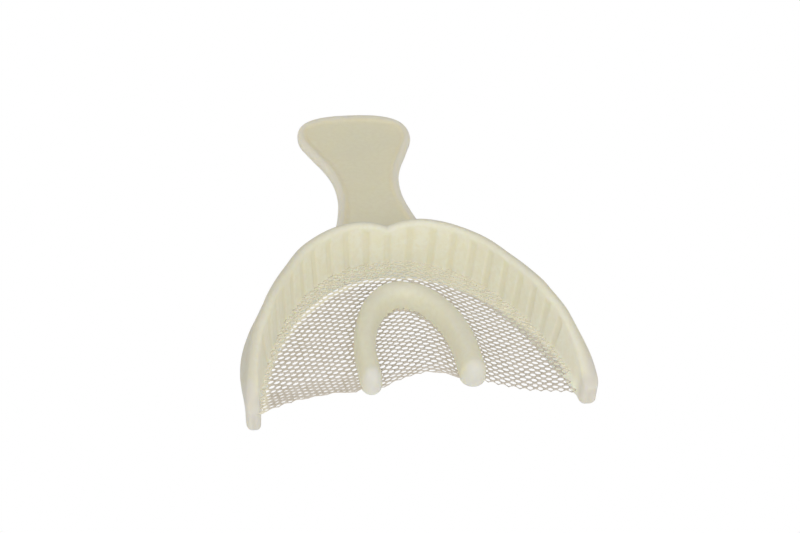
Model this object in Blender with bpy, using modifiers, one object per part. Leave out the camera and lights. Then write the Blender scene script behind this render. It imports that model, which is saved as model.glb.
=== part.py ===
"""Dual-arch dental impression tray.

A ribbed U-shaped wall stands above and below a net that is clamped at its mid-height, a lingual
bar straddles the same net inside the arch, and a fishtail paddle handle leaves the wall in front.

Lengths are metres and +Z is up. The design frame has its origin in the net plane, on the plane of
symmetry, level with the back corners of the arch, and +Y runs towards the handle. The whole tray
hangs from one empty that moves this frame so that the origin ends up under the middle of the tray.
"""

import math

import bmesh
import bpy
import numpy as np

# The arch is half a superellipse, the inner edge of the wall at the net. It is widest at its ends.
ARCH_FRONT_Y = 0.0414
ARCH_HALF_WIDTH = 0.0333
ARCH_POWER_X = 2.2
ARCH_POWER_Y = 1.6
WALL_END_Y = -0.0075

# The wall, as offsets outward from the arch and heights above the net.
WALL_THICKNESS = 0.0031
RIM_HEIGHT = 0.0108
RIM_END_HEIGHT = 0.0013
RIM_FALL_START_Y = 0.0170
RIM_RADIUS = 0.00110
RIM_LEAN = 0.0009
NOTCH_DEPTH = 0.0026
NOTCH_HALF_WIDTH = 0.0043
SKIRT_DEPTH = 0.0048
SKIRT_EDGE = 0.0006
BELLY = 0.0017
BELLY_START_Y = 0.0200
BELLY_FULL_Y = 0.0090
BELLY_FADE_Y = 0.0020
END_ROUND = 0.0024

# The ribs on the inner face are what the grooves leave standing.
RIB_PITCH = 0.0049
GROOVE_WIDTH = 0.0019
GROOVE_DEPTH = 0.00045
GROOVE_RAMP = 0.00012
GROOVE_STOP = 0.0021
GROOVES_EACH_SIDE = 10

# The net and the seam that holds it.
NET_THICKNESS = 0.0004
SEAM_GAP = 0.0003
NET_CLAMP = 0.0021
NET_CORNER_Y = -0.0066
NET_AT_BAR = (0.0116, -0.0022)
NET_INSIDE_BAR = (0.0086, -0.0010)
NET_MIDDLE_Y = 0.0027

# The lingual bar: two straight arms and half an ellipse.
BAR_HALF_SPAN = 0.0104
BAR_ARM_TOP_Y = 0.0055
BAR_APEX_Y = 0.0269
BAR_TIP_Y = -0.0030
BAR_UPPER_HALF_WIDTH = 0.0025
BAR_UPPER_HEIGHT = 0.0047
BAR_LOWER_HALF_WIDTH = 0.0022
BAR_LOWER_HEIGHT = 0.0017
BAR_TIP_ROUND = 0.0026

# The handle: half widths along Y from the root to the paddle, then round corners to its end.
HANDLE_THICKNESS = 0.0026
HANDLE_END_Y = 0.1034
HANDLE_ROOT_HALF_WIDTH = 0.0125
HANDLE_WIDTHS = (
    (0.0520, 0.0107),
    (0.0590, 0.0090),
    (0.0665, 0.0079),
    (0.0740, 0.0082),
    (0.0800, 0.0097),
    (0.0860, 0.0121),
    (0.0932, 0.0142),
)
PADDLE_CORNER_POWER = 2.6
HANDLE_BORDER = 0.0017
HANDLE_RECESS = 0.0006
RECESS_START_Y = 0.0495
HANDLE_EDGE_ROUND = 0.0006

SEAM_HALF = NET_THICKNESS / 2 + SEAM_GAP
CREAM = (0.62, 0.58, 0.42, 1.0)
PALE_CREAM = (0.66, 0.62, 0.47, 1.0)
NET_TAN = (0.50, 0.44, 0.36, 1.0)


def smoothstep(value):
    value = min(max(value, 0.0), 1.0)
    return value * value * (3 - 2 * value)


# ---------------------------------------------------------------- the arch

ARCH_DEPTH = ARCH_FRONT_Y - WALL_END_Y


def arch_point(angle):
    """The point at an angle of 0 in the middle of the front and 90 degrees at the right end."""
    across = math.sin(angle) ** (2 / ARCH_POWER_X)
    along = max(math.cos(angle), 0.0) ** (2 / ARCH_POWER_Y)
    return ARCH_HALF_WIDTH * across, WALL_END_Y + ARCH_DEPTH * along


ARCH_ANGLES = np.linspace(0.0, math.pi / 2, 900)
ARCH_POINTS = np.array([arch_point(float(angle)) for angle in ARCH_ANGLES])
ARCH_STEPS = np.hypot(*np.diff(ARCH_POINTS, axis=0).T)
ARCH_LENGTHS = np.concatenate(([0.0], np.cumsum(ARCH_STEPS)))
ARCH_HALF_LENGTH = float(ARCH_LENGTHS[-1])


def arch_place(length):
    """The point and the outward normal at a signed length along the arch, from the middle."""
    side = math.copysign(1.0, length)
    x = float(np.interp(abs(length), ARCH_LENGTHS, ARCH_POINTS[:, 0]))
    y = float(np.interp(abs(length), ARCH_LENGTHS, ARCH_POINTS[:, 1]))
    across = ARCH_POWER_X * (x / ARCH_HALF_WIDTH) ** (ARCH_POWER_X - 1) / ARCH_HALF_WIDTH
    along = ARCH_POWER_Y * ((y - WALL_END_Y) / ARCH_DEPTH) ** (ARCH_POWER_Y - 1) / ARCH_DEPTH
    norm = math.hypot(across, along)
    return (side * x, y), (side * across / norm, along / norm)


def arch_offset(length, offset, z):
    point, normal = arch_place(length)
    return (point[0] + normal[0] * offset, point[1] + normal[1] * offset, z)


def length_at_y(y):
    return float(np.interp(-y, -ARCH_POINTS[:, 1], ARCH_LENGTHS))


# ---------------------------------------------------------------- the scene

def clear_scene():
    for old in list(bpy.data.objects):
        bpy.data.objects.remove(old, do_unlink=True)


def make_collection(name):
    collection = bpy.data.collections.new(name)
    bpy.context.scene.collection.children.link(collection)
    return collection


def make_material(name, colour, roughness):
    material = bpy.data.materials.new(name)
    material.use_nodes = True
    shader = material.node_tree.nodes["Principled BSDF"]
    shader.inputs["Base Color"].default_value = colour
    shader.inputs["Roughness"].default_value = roughness
    shader.inputs["Metallic"].default_value = 0.0
    material.diffuse_color = colour
    return material


def finish_object(obj, collection, frame, material):
    collection.objects.link(obj)
    obj.parent = frame
    obj.data.materials.clear()
    obj.data.materials.append(material)
    obj.data.shade_smooth()
    obj.data.set_sharp_from_angle(angle=math.radians(40))
    return obj


def loft(name, rings):
    """One closed body through rings of equal length, capped at both ends."""
    mesh = bpy.data.meshes.new(name)
    build = bmesh.new()
    rows = [[build.verts.new(point) for point in ring] for ring in rings]
    count = len(rows[0])
    for row, following in zip(rows, rows[1:]):
        for i in range(count):
            j = (i + 1) % count
            build.faces.new((row[i], row[j], following[j], following[i]))
    build.faces.new(list(reversed(rows[0])))
    build.faces.new(rows[-1])
    bmesh.ops.recalc_face_normals(build, faces=build.faces)
    build.to_mesh(mesh)
    build.free()
    return bpy.data.objects.new(name, mesh)


def plate(name, outline, half_thickness, bevel=0.0):
    """A flat plate from a filled 2D curve, made a mesh with its faces welded."""
    curve = bpy.data.curves.new(name, "CURVE")
    curve.dimensions = "2D"
    curve.fill_mode = "BOTH"
    curve.extrude = half_thickness
    spline = curve.splines.new("POLY")
    spline.points.add(len(outline) - 1)
    for point, (x, y) in zip(spline.points, outline):
        point.co = (x, y, 0.0, 1.0)
    spline.use_cyclic_u = True
    guide = bpy.data.objects.new(name + "_outline", curve)
    bpy.context.scene.collection.objects.link(guide)
    graph = bpy.context.evaluated_depsgraph_get()
    mesh = bpy.data.meshes.new_from_object(guide.evaluated_get(graph))
    bpy.data.objects.remove(guide, do_unlink=True)
    mesh.name = name
    build = bmesh.new()
    build.from_mesh(mesh)
    bmesh.ops.remove_doubles(build, verts=build.verts, dist=0.00001)
    bmesh.ops.recalc_face_normals(build, faces=build.faces)
    build.to_mesh(mesh)
    build.free()
    obj = bpy.data.objects.new(name, mesh)
    if bevel:
        rounding = obj.modifiers.new("edge_round", "BEVEL")
        rounding.width = bevel
        rounding.segments = 2
        rounding.limit_method = "ANGLE"
        rounding.angle_limit = math.radians(50)
    return obj


# ---------------------------------------------------------------- the wall

def wall_stations():
    """Lengths along the arch: both edges of each groove, the middle of each rib, and close steps
    where the ends round off."""
    half = {0.0}
    for index in range(GROOVES_EACH_SIDE + 1):
        centre = index * RIB_PITCH
        half.add(centre + RIB_PITCH / 2)
        for edge in (-1, 1):
            flank = centre + edge * GROOVE_WIDTH / 2
            half.update((abs(flank - GROOVE_RAMP), abs(flank + GROOVE_RAMP)))
    last_groove = GROOVES_EACH_SIDE * RIB_PITCH + RIB_PITCH / 2
    round_start = ARCH_HALF_LENGTH - END_ROUND
    half.update(np.linspace(last_groove, round_start, 3)[1:])
    for step in range(1, 7):
        half.add(ARCH_HALF_LENGTH - END_ROUND * (1 - math.sin(step * math.pi / 12)))
    half = sorted(float(value) for value in half)
    return [-value for value in reversed(half) if value > 0] + half


def in_groove(length):
    nearest = round(abs(length) / RIB_PITCH)
    if nearest > GROOVES_EACH_SIDE:
        return False
    return abs(abs(length) - nearest * RIB_PITCH) < GROOVE_WIDTH / 2


def rim_height(x, y):
    """The rim is level round the front, dips at the middle and falls towards both ends."""
    dip = NOTCH_DEPTH * math.exp(-abs(x / NOTCH_HALF_WIDTH) ** 1.3)
    fall = min(max((RIM_FALL_START_Y - y) / (RIM_FALL_START_Y - WALL_END_Y), 0.0), 1.0)
    shape = (1 - fall ** 1.35) ** 0.8
    return RIM_END_HEIGHT + (RIM_HEIGHT - RIM_END_HEIGHT) * shape - dip


def belly(y):
    """How far the outer face swells beside the molars."""
    grow = smoothstep((BELLY_START_Y - y) / (BELLY_START_Y - BELLY_FULL_Y))
    fade = smoothstep((y - WALL_END_Y) / (BELLY_FADE_Y - WALL_END_Y))
    return BELLY * grow * fade


def end_scale(length):
    """1 along the wall, falling on a quarter round to the tip of each end."""
    left = (ARCH_HALF_LENGTH - abs(length)) / END_ROUND
    if left >= 1:
        return 1.0
    return math.sqrt(max(1 - (1 - left) ** 2, 0.0))


def narrowed(offset, scale):
    middle = WALL_THICKNESS / 2
    return middle + (offset - middle) * (0.35 + 0.65 * scale)


def upper_section(length):
    (x, y), _ = arch_place(length)
    top = rim_height(x, y)
    rise = top - SEAM_HALF
    radius = min(RIM_RADIUS, 0.45 * rise)
    groove = GROOVE_DEPTH if in_groove(length) else 0.0
    stop = SEAM_HALF + max(rise - GROOVE_STOP, 0.3 * rise)
    swell = belly(y)
    centre = (RIM_LEAN + WALL_THICKNESS) / 2
    side = (WALL_THICKNESS - RIM_LEAN) / 2
    profile = [
        (groove, SEAM_HALF),
        (RIM_LEAN * 0.8 + groove, stop - 0.0002),
        (RIM_LEAN * 0.85, stop),
    ]
    for step in range(7):
        angle = math.pi * (1 - step / 6)
        profile.append((centre + side * math.cos(angle), top - radius + radius * math.sin(angle)))
    profile += [
        (WALL_THICKNESS + swell * 0.55, SEAM_HALF + 0.70 * (top - radius - SEAM_HALF)),
        (WALL_THICKNESS + swell, SEAM_HALF + 0.35 * (top - radius - SEAM_HALF)),
        (WALL_THICKNESS + swell, SEAM_HALF),
    ]
    scale = end_scale(length)
    return [arch_offset(length, narrowed(offset, scale), z) for offset, z in profile]


def lower_section(length):
    (_, y), _ = arch_place(length)
    scale = end_scale(length)
    bottom = -SEAM_HALF - (SKIRT_DEPTH - SEAM_HALF) * (0.3 + 0.7 * scale)
    groove = GROOVE_DEPTH if in_groove(length) else 0.0
    swell = belly(y)
    profile = [
        (0.0 + groove, -SEAM_HALF),
        (0.0 + groove, bottom + 2 * SKIRT_EDGE),
        (0.0, bottom + 1.6 * SKIRT_EDGE),
        (0.0, bottom + SKIRT_EDGE),
        (SKIRT_EDGE * 0.3, bottom + SKIRT_EDGE * 0.3),
        (SKIRT_EDGE, bottom),
        (WALL_THICKNESS - SKIRT_EDGE, bottom),
        (WALL_THICKNESS - SKIRT_EDGE * 0.3, bottom + SKIRT_EDGE * 0.3),
        (WALL_THICKNESS + swell * 0.35, bottom + SKIRT_EDGE + 0.0004),
        (WALL_THICKNESS + swell, -SEAM_HALF - 0.0006),
        (WALL_THICKNESS + swell, -SEAM_HALF),
    ]
    return [arch_offset(length, narrowed(offset, scale), z) for offset, z in profile]


def make_upper_wall():
    return loft("upper_wall", [upper_section(length) for length in wall_stations()])


def make_lower_wall():
    return loft("lower_wall", [lower_section(length) for length in wall_stations()])


# ---------------------------------------------------------------- the lingual bar

def bar_path():
    """Points and outward normals from the left tip, round the apex, to the right tip."""
    rise = BAR_APEX_Y - BAR_ARM_TOP_Y
    half = []
    for step in range(19):
        angle = math.pi / 2 * step / 18
        point = (BAR_HALF_SPAN * math.sin(angle), BAR_ARM_TOP_Y + rise * math.cos(angle))
        across = (math.sin(angle) * rise, math.cos(angle) * BAR_HALF_SPAN)
        norm = math.hypot(*across)
        half.append((point, (across[0] / norm, across[1] / norm), 1.0))
    arm_end = BAR_TIP_Y + BAR_TIP_ROUND
    for y in np.linspace(BAR_ARM_TOP_Y, arm_end, 6)[1:]:
        half.append(((BAR_HALF_SPAN, float(y)), (1.0, 0.0), 1.0))
    for step in range(1, 7):
        angle = math.pi / 2 * step / 6.2
        y = arm_end - BAR_TIP_ROUND * math.sin(angle)
        half.append(((BAR_HALF_SPAN, y), (1.0, 0.0), math.cos(angle)))
    mirrored = [((-p[0], p[1]), (-n[0], n[1]), scale) for p, n, scale in reversed(half[1:])]
    return mirrored + half


def bar_half(name, half_width, height, direction):
    """One half of the bar: a dome on its flat seam face. direction is +1 above the net."""
    rings = []
    for point, normal, scale in bar_path():
        ring = []
        for step in range(9):
            angle = math.pi * step / 8
            offset = -half_width * scale * math.copysign(abs(math.cos(angle)) ** 0.8, math.cos(angle))
            rise = (height - SEAM_HALF) * scale * math.sin(angle) ** 0.8
            z = direction * (SEAM_HALF + rise)
            ring.append((point[0] + normal[0] * offset, point[1] + normal[1] * offset, z))
        rings.append(ring)
    return loft(name, rings)


# ---------------------------------------------------------------- the handle

def handle_half_outline(border):
    """Right edge of the handle from its root to the middle of its end, set in by border."""
    widths = [(HANDLE_WIDTHS[0][0] * 2 - HANDLE_WIDTHS[1][0], HANDLE_ROOT_HALF_WIDTH)]
    widths += list(HANDLE_WIDTHS)
    points = []
    for i in range(len(widths) - 1):
        before = widths[max(i - 1, 0)]
        start, end = widths[i], widths[i + 1]
        after = widths[min(i + 2, len(widths) - 1)]
        leave = (end[1] - before[1]) / (end[0] - before[0])
        arrive = (after[1] - start[1]) / (after[0] - start[0]) if i + 2 < len(widths) else 0.0
        span = end[0] - start[0]
        for step in range(5):
            t = step / 5
            value = (
                (1 + 2 * t) * (1 - t) ** 2 * start[1]
                + t * (1 - t) ** 2 * span * leave
                + t * t * (3 - 2 * t) * end[1]
                + t * t * (t - 1) * span * arrive
            )
            points.append((value - border, start[0] + t * span))
    widest_y, widest = widths[-1]
    length = HANDLE_END_Y - border - widest_y
    for step in range(16):
        angle = math.pi / 2 * step / 16
        x = (widest - border) * math.cos(angle) ** (2 / PADDLE_CORNER_POWER)
        y = widest_y + length * math.sin(angle) ** (2 / PADDLE_CORNER_POWER)
        points.append((x, y))
    return points


def root_edge(half_width, offset):
    """The curved edge that follows the wall's outer face, from -X to +X."""
    reach = float(np.interp(half_width, ARCH_POINTS[:, 0], ARCH_LENGTHS))
    steps = np.linspace(-reach, reach, 11)
    return [arch_offset(float(step), offset, 0.0)[:2] for step in steps]


def handle_outline():
    right = handle_half_outline(0.0)
    left = [(-x, y) for x, y in reversed(right)]
    end = [(0.0, HANDLE_END_Y)]
    return root_edge(HANDLE_ROOT_HALF_WIDTH, WALL_THICKNESS + SEAM_GAP) + right[1:] + end + left[:-1]


def recess_outline():
    """The sunken panel: the handle's own outline set in by its border, cut straight at the root."""
    right = [point for point in handle_half_outline(HANDLE_BORDER) if point[1] > RECESS_START_Y]
    left = [(-x, y) for x, y in reversed(right)]
    return right + [(0.0, HANDLE_END_Y - HANDLE_BORDER)] + left


def make_handle(cutters):
    handle = plate("handle", handle_outline(), HANDLE_THICKNESS / 2, HANDLE_EDGE_ROUND)
    for side in (-1, 1):
        cutter = plate("recess_cutter", recess_outline(), HANDLE_RECESS)
        cutter.location = (0.0, 0.0, side * HANDLE_THICKNESS / 2)
        cutter.hide_render = True
        cutter.display_type = "WIRE"
        cutters.objects.link(cutter)
        cut = handle.modifiers.new("recess", "BOOLEAN")
        cut.operation = "DIFFERENCE"
        cut.solver = "EXACT"
        cut.object = cutter
    return handle


# ---------------------------------------------------------------- the net

def net_outline():
    """The sheet reaches into the seam of the wall, and its back edge is cut free-hand: straight
    from the wall to each arm of the bar, and a shallow arc between the arms."""
    reach = length_at_y(NET_CORNER_Y)
    outer = [arch_offset(float(step), NET_CLAMP, 0.0)[:2] for step in np.linspace(-reach, reach, 61)]
    inside_x, inside_y = NET_INSIDE_BAR
    middle = []
    for step in range(9):
        x = inside_x * (1 - step / 4)
        middle.append((x, NET_MIDDLE_Y + (inside_y - NET_MIDDLE_Y) * (x / inside_x) ** 2))
    return outer + [NET_AT_BAR] + middle + [(-NET_AT_BAR[0], NET_AT_BAR[1])]


def main():
    clear_scene()
    parts = make_collection("impression_tray")
    cutters = make_collection("cutters")
    frame = bpy.data.objects.new("tray_frame", None)
    frame.location = (0.0, -(WALL_END_Y + HANDLE_END_Y) / 2, SKIRT_DEPTH)
    parts.objects.link(frame)

    cream = make_material("tray_cream", CREAM, 0.42)
    bar_cream = make_material("bar_cream", PALE_CREAM, 0.38)
    net_tan = make_material("net_tan", NET_TAN, 0.85)

    finish_object(make_upper_wall(), parts, frame, cream)
    finish_object(make_lower_wall(), parts, frame, cream)
    finish_object(make_handle(cutters), parts, frame, cream)
    finish_object(plate("net", net_outline(), NET_THICKNESS / 2), parts, frame, net_tan)

    upper_bar = bar_half("lingual_bar_upper", BAR_UPPER_HALF_WIDTH, BAR_UPPER_HEIGHT, 1)
    lower_bar = bar_half("lingual_bar_lower", BAR_LOWER_HALF_WIDTH, BAR_LOWER_HEIGHT, -1)
    finish_object(upper_bar, parts, frame, bar_cream)
    finish_object(lower_bar, parts, frame, bar_cream)
    for cutter in cutters.objects:
        cutter.parent = frame


main()
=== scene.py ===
import math

import bmesh
import bpy
import numpy as np
from mathutils import Matrix, Vector, noise


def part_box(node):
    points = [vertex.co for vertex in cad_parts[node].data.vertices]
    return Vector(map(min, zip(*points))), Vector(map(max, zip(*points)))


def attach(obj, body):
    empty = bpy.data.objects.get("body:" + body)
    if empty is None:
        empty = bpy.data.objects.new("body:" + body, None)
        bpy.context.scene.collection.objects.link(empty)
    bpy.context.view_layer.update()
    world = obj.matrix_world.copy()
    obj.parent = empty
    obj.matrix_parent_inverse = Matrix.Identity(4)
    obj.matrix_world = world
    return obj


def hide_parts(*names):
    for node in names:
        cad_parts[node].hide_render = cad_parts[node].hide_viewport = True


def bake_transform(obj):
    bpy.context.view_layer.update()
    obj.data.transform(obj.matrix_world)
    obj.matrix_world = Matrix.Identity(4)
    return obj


# Looks for the dual-arch dental impression tray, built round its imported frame.
#
# Shapes are made in the design frame, in metres: the origin is in the net plane, between the arms
# of the bar, and +Y runs towards the handle. `placed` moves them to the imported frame.

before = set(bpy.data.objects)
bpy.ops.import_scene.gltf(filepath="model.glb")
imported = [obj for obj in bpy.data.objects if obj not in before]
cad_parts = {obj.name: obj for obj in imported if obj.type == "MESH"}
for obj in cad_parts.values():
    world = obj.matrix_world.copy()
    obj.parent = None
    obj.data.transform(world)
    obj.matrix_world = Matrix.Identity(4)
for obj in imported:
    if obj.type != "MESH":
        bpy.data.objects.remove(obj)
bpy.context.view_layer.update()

# ---------------------------------------------------------------- sizes, in metres

ARCH_FRONT_Y = 0.0414
ARCH_HALF_WIDTH = 0.0333
ARCH_POWER_X = 2.2
ARCH_POWER_Y = 1.6
WALL_END_Y = -0.0075
ARCH_DEPTH = ARCH_FRONT_Y - WALL_END_Y
ARCH_SAMPLES = 900

WALL_THICKNESS = 0.0031
RIM_HEIGHT = 0.0108
RIM_END_HEIGHT = 0.0013
RIM_FALL_START_Y = 0.0170
RIM_FALL_POWER = 1.35
RIM_FALL_SOFTNESS = 0.8
RIM_RADIUS = 0.00110
RIM_MOST_SHARE = 0.45
RIM_ARC_STEPS = 10
RIM_LEAN = 0.0009
FULL_LEAN_HEIGHT = 0.006
SHOULDER_SHIFT = 0.0006
SHOULDER_BACK_Y = 0.0080
SHOULDER_FRONT_Y = 0.0330
SHOULDER_EASE = 0.0070
RIGHT_FOOT_SPREAD = 0.0006
LEFT_FOOT_TUCK = 0.0001
FOOT_START_Y = 0.0060
RIGHT_FOOT_LIFT = 0.0010
NOTCH_DEPTH = 0.0026
NOTCH_HALF_WIDTH = 0.0043
NOTCH_POWER = 1.3
SKIRT_DEPTH = 0.0048
SKIRT_ROUND = 0.0010
SKIRT_INNER_ROUND = 0.0006
BELLY = 0.0020
BELLY_START_Y = 0.0225
BELLY_FULL_Y = 0.0120
BELLY_FADE_Y = 0.0066
BELLY_LOSS_AT_FOOT = 0.65
BELLY_FALL_START = 0.25
BELLY_FALL_LENGTH = 0.95
END_ROUND = 0.0022
END_POWER = 2.8
END_FLATTEN = 0.38
END_STEPS = 12
WALL_STEP = 0.0003

# Heights and shares of height at which the wall's section has points.
INNER_LOW_TOP = -0.0008
INNER_LOW_COUNT = 6
INNER_NET_HEIGHTS = (-0.0006, -0.0003, 0.0, 0.0003, 0.0006, 0.0009)
INNER_HIGH_START = 0.0011
INNER_HIGH_COUNT = 16
INNER_HIGH_POWER = 0.9
LEAST_RISE = 0.00002
OUTER_SHARES = (0.88, 0.72, 0.55, 0.38, 0.2, 0.08, 0.0)
SKIRT_SHARES = (0.15, 0.3, 0.45, 0.6, 0.75)
SKIRT_OUTER_STEPS = 5
SKIRT_INNER_STEPS = 4

RIB_PITCH = 0.0049
GROOVE_HALF_WIDTH = 0.00085
GROOVE_FLANK = 0.00022
GROOVE_DEPTH = 0.00026
GROOVE_STOP = 0.0014
GROOVE_STOP_ROUND = 0.0005
SKIRT_GROOVE_STOP = 0.0036
GROOVES_EACH_SIDE = 10

BASE_SPREAD = 0.0006
BASE_FADE_START_Y = -0.0028
BASE_FADE_LEFT_Y = 0.0080
BASE_FADE_END_Y = -0.0044
BASE_SHARE_AT_NET = 0.55

# Where the wall gets a painted highlight (a greyer, washed-out colour) and painted shade: along the rim,
# on its outer side and at the ends.
RIM_BAND = 0.0042
RIM_BAND_LOSS_IN_GROOVE = 0.65
# Painted highlight: how strong it is on the rim and rib tops, and where it lies at the ends and the stub.
RIM_HIGHLIGHT = 0.4
RIB_TOP_HIGHLIGHT = 0.4
RIM_SHADE_STEPS = 7.5
END_HIGHLIGHT_Y = 0.0005
END_HIGHLIGHT_LENGTH = 0.0045
END_SHADE_LOSS = 0.15
STUB_HIGHLIGHT_Y = -0.0036
STUB_HIGHLIGHT_LENGTH = 0.0030

BAR_LEFT_SPAN = 0.0100
BAR_RIGHT_SPAN = 0.0115
BAR_ARM_TOP_Y = 0.0055
BAR_APEX_Y = 0.0266
BAR_LEFT_TIP_Y = -0.0029
BAR_RIGHT_TIP_Y = -0.0025
BAR_LEFT_HALF_WIDTH = 0.0023
BAR_APEX_HALF_WIDTH = 0.0028
BAR_RIGHT_HALF_WIDTH = 0.0028
BAR_TOP = 0.0047
BAR_BOTTOM = 0.0019
BAR_TIP_ROUND = 0.0027
BAR_SQUARENESS = 0.86
BAR_APEX_STEPS = 36
BAR_ARM_STEPS = 12
BAR_RING_STEPS = 32
BAR_TIP_STEPS = 11
TIP_ARC_END = 11.25
TIP_TAPER = 0.9
TIP_LEAST_HEIGHT = 0.25
# Painted highlight along the top of the bar and over its tips.
RIDGE_START = 0.45
RIDGE_LENGTH = 0.5
RIDGE_HIGHLIGHT = 0.35
RIDGE_HIGHLIGHT_AT_TIP = 0.9
TIP_END_HIGHLIGHT = 0.85
TIP_HIGHLIGHT_Y = 0.0030
TIP_HIGHLIGHT_LENGTH = 0.0056
TIP_END_HIGHLIGHT_Y = 0.0006
TIP_END_HIGHLIGHT_LENGTH = 0.0034

HANDLE_END_Y = 0.1034
HANDLE_ROOT_HALF_WIDTH = 0.0125
HANDLE_WIDTHS = (
    (0.0520, 0.0107),
    (0.0590, 0.0090),
    (0.0665, 0.0079),
    (0.0740, 0.0082),
    (0.0800, 0.0097),
    (0.0860, 0.0121),
    (0.0936, 0.0144),
)
PADDLE_END_Y = 0.1040
PADDLE_CORNER_POWER = 2.6
ROOT_OFFSET = 0.0020
ROOT_FACE_Y = 0.0460
ROOT_FLARE = 0.0007
ROOT_STEPS = 20
SPAN_STEPS = 8
PADDLE_STEPS = 28
EDGE_LINE_POINTS = 130
END_BORDER_LENGTH = 0.004
END_BORDER_EXTRA = 0.45
# Painted highlight on the handle's raised border.
BORDER_HIGHLIGHT_START = 0.0011
BORDER_HIGHLIGHT_LENGTH = 0.0011

NET_HALF_THICKNESS = 0.00009
STRAND_HALF_WIDTH = 0.000158
STRAND_CREASE = 0.7
NET_REACH_IN_WALL = 0.0028
NET_REACH_AT_END = 0.0014
NET_REACH_AT_CORNER = -0.0010
NET_CORNER_X = 20.0
NET_CORNER_CUT_Y = -1.5
NET_END_Y = -4.0
WEAVE_SEED = 4
SUNK_AT_FRONT = 0.0063
SUNK_FULL_Y = 0.0350
SUNK_POWER = 1.9
SUNK_STRAND_SHARE = 0.42
TINT_BEYOND = 0.0010
TINT_EDGE = 0.0004
TINT_STEPS = 3

HANDLE_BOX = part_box("handle")
NET_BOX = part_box("net")
ORIGIN = Vector((0.0, HANDLE_BOX[1][1] - HANDLE_END_Y, (NET_BOX[0][2] + NET_BOX[1][2]) / 2))


def smoothstep(value):
    value = min(max(value, 0.0), 1.0)
    return value * value * (3 - 2 * value)


def placed(x, y, z):
    return ORIGIN + Vector((x, y, z))


# ---------------------------------------------------------------- the arch

def arch_point(angle):
    across = math.sin(angle) ** (2 / ARCH_POWER_X)
    along = max(math.cos(angle), 0.0) ** (2 / ARCH_POWER_Y)
    return ARCH_HALF_WIDTH * across, WALL_END_Y + ARCH_DEPTH * along


ARCH_POINTS = np.array([arch_point(float(a)) for a in np.linspace(0.0, math.pi / 2, ARCH_SAMPLES)])
ARCH_STEPS = np.hypot(*np.diff(ARCH_POINTS, axis=0).T)
ARCH_LENGTHS = np.concatenate(([0.0], np.cumsum(ARCH_STEPS)))
ARCH_HALF_LENGTH = float(ARCH_LENGTHS[-1])


def arch_normals(points):
    across = ARCH_POWER_X * (points[:, 0] / ARCH_HALF_WIDTH) ** (ARCH_POWER_X - 1) / ARCH_HALF_WIDTH
    along = ARCH_POWER_Y * ((points[:, 1] - WALL_END_Y) / ARCH_DEPTH) ** (ARCH_POWER_Y - 1) / ARCH_DEPTH
    return np.stack([across, along], axis=1) / np.hypot(across, along)[:, None]


ROOT_POINTS = ARCH_POINTS + arch_normals(ARCH_POINTS) * ROOT_OFFSET


def arch_place(length):
    """The point and the outward normal at a signed length along the arch, from the middle."""
    side = math.copysign(1.0, length)
    x = float(np.interp(abs(length), ARCH_LENGTHS, ARCH_POINTS[:, 0]))
    y = float(np.interp(abs(length), ARCH_LENGTHS, ARCH_POINTS[:, 1]))
    across = ARCH_POWER_X * (x / ARCH_HALF_WIDTH) ** (ARCH_POWER_X - 1) / ARCH_HALF_WIDTH
    along = ARCH_POWER_Y * ((y - WALL_END_Y) / ARCH_DEPTH) ** (ARCH_POWER_Y - 1) / ARCH_DEPTH
    norm = math.hypot(across, along)
    return (side * x, y), (side * across / norm, along / norm)


# ---------------------------------------------------------------- meshes

def mesh_object(name, build):
    mesh = bpy.data.meshes.new(name)
    build.to_mesh(mesh)
    build.free()
    obj = bpy.data.objects.new(name, mesh)
    bpy.context.scene.collection.objects.link(obj)
    mesh.shade_smooth()
    return obj


def loft(name, rings):
    """A closed skin through the rings, with a fan of faces over each end."""
    build = bmesh.new()
    rows = [[build.verts.new(point) for point in ring] for ring in rings]
    count = len(rows[0])
    for row, following in zip(rows, rows[1:]):
        for i in range(count):
            j = (i + 1) % count
            build.faces.new((row[i], row[j], following[j], following[i]))
    for row in (rows[0], rows[-1]):
        middle = sum((vert.co for vert in row), Vector()) / count
        centre = build.verts.new(middle)
        for i in range(count):
            build.faces.new((row[i], row[(i + 1) % count], centre))
    bmesh.ops.recalc_face_normals(build, faces=build.faces)
    return mesh_object(name, build)


def store(obj, name, values, rest):
    """Keep a number at each vertex for the material; later vertices get the last value."""
    layer = obj.data.attributes.new(name, "FLOAT", "POINT")
    layer.data.foreach_set("value", values + [rest] * (len(obj.data.vertices) - len(values)))


# ---------------------------------------------------------------- the wall

def rim_height(x, y):
    dip = NOTCH_DEPTH * math.exp(-abs(x / NOTCH_HALF_WIDTH) ** NOTCH_POWER)
    fall = min(max((RIM_FALL_START_Y - y) / (RIM_FALL_START_Y - WALL_END_Y), 0.0), 1.0)
    shape = (1 - fall ** RIM_FALL_POWER) ** RIM_FALL_SOFTNESS
    return RIM_END_HEIGHT + (RIM_HEIGHT - RIM_END_HEIGHT) * shape - dip


def belly(y):
    grow = smoothstep((BELLY_START_Y - y) / (BELLY_START_Y - BELLY_FULL_Y))
    fade = smoothstep((y - WALL_END_Y) / (BELLY_FADE_Y - WALL_END_Y))
    return BELLY * grow * fade


def shoulder(y):
    """1 at the two shoulders of the arch, where the rim stands a little further in."""
    grow = smoothstep((y - SHOULDER_BACK_Y) / SHOULDER_EASE)
    return SHOULDER_SHIFT * grow * smoothstep((SHOULDER_FRONT_Y - y) / SHOULDER_EASE)


def foot_shift(x, y):
    """How far outward the outer face is moved at the feet, which aren't quite alike."""
    near = smoothstep((FOOT_START_Y - y) / (FOOT_START_Y - WALL_END_Y / 2))
    return near * (RIGHT_FOOT_SPREAD if x > 0 else -LEFT_FOOT_TUCK)


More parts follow.
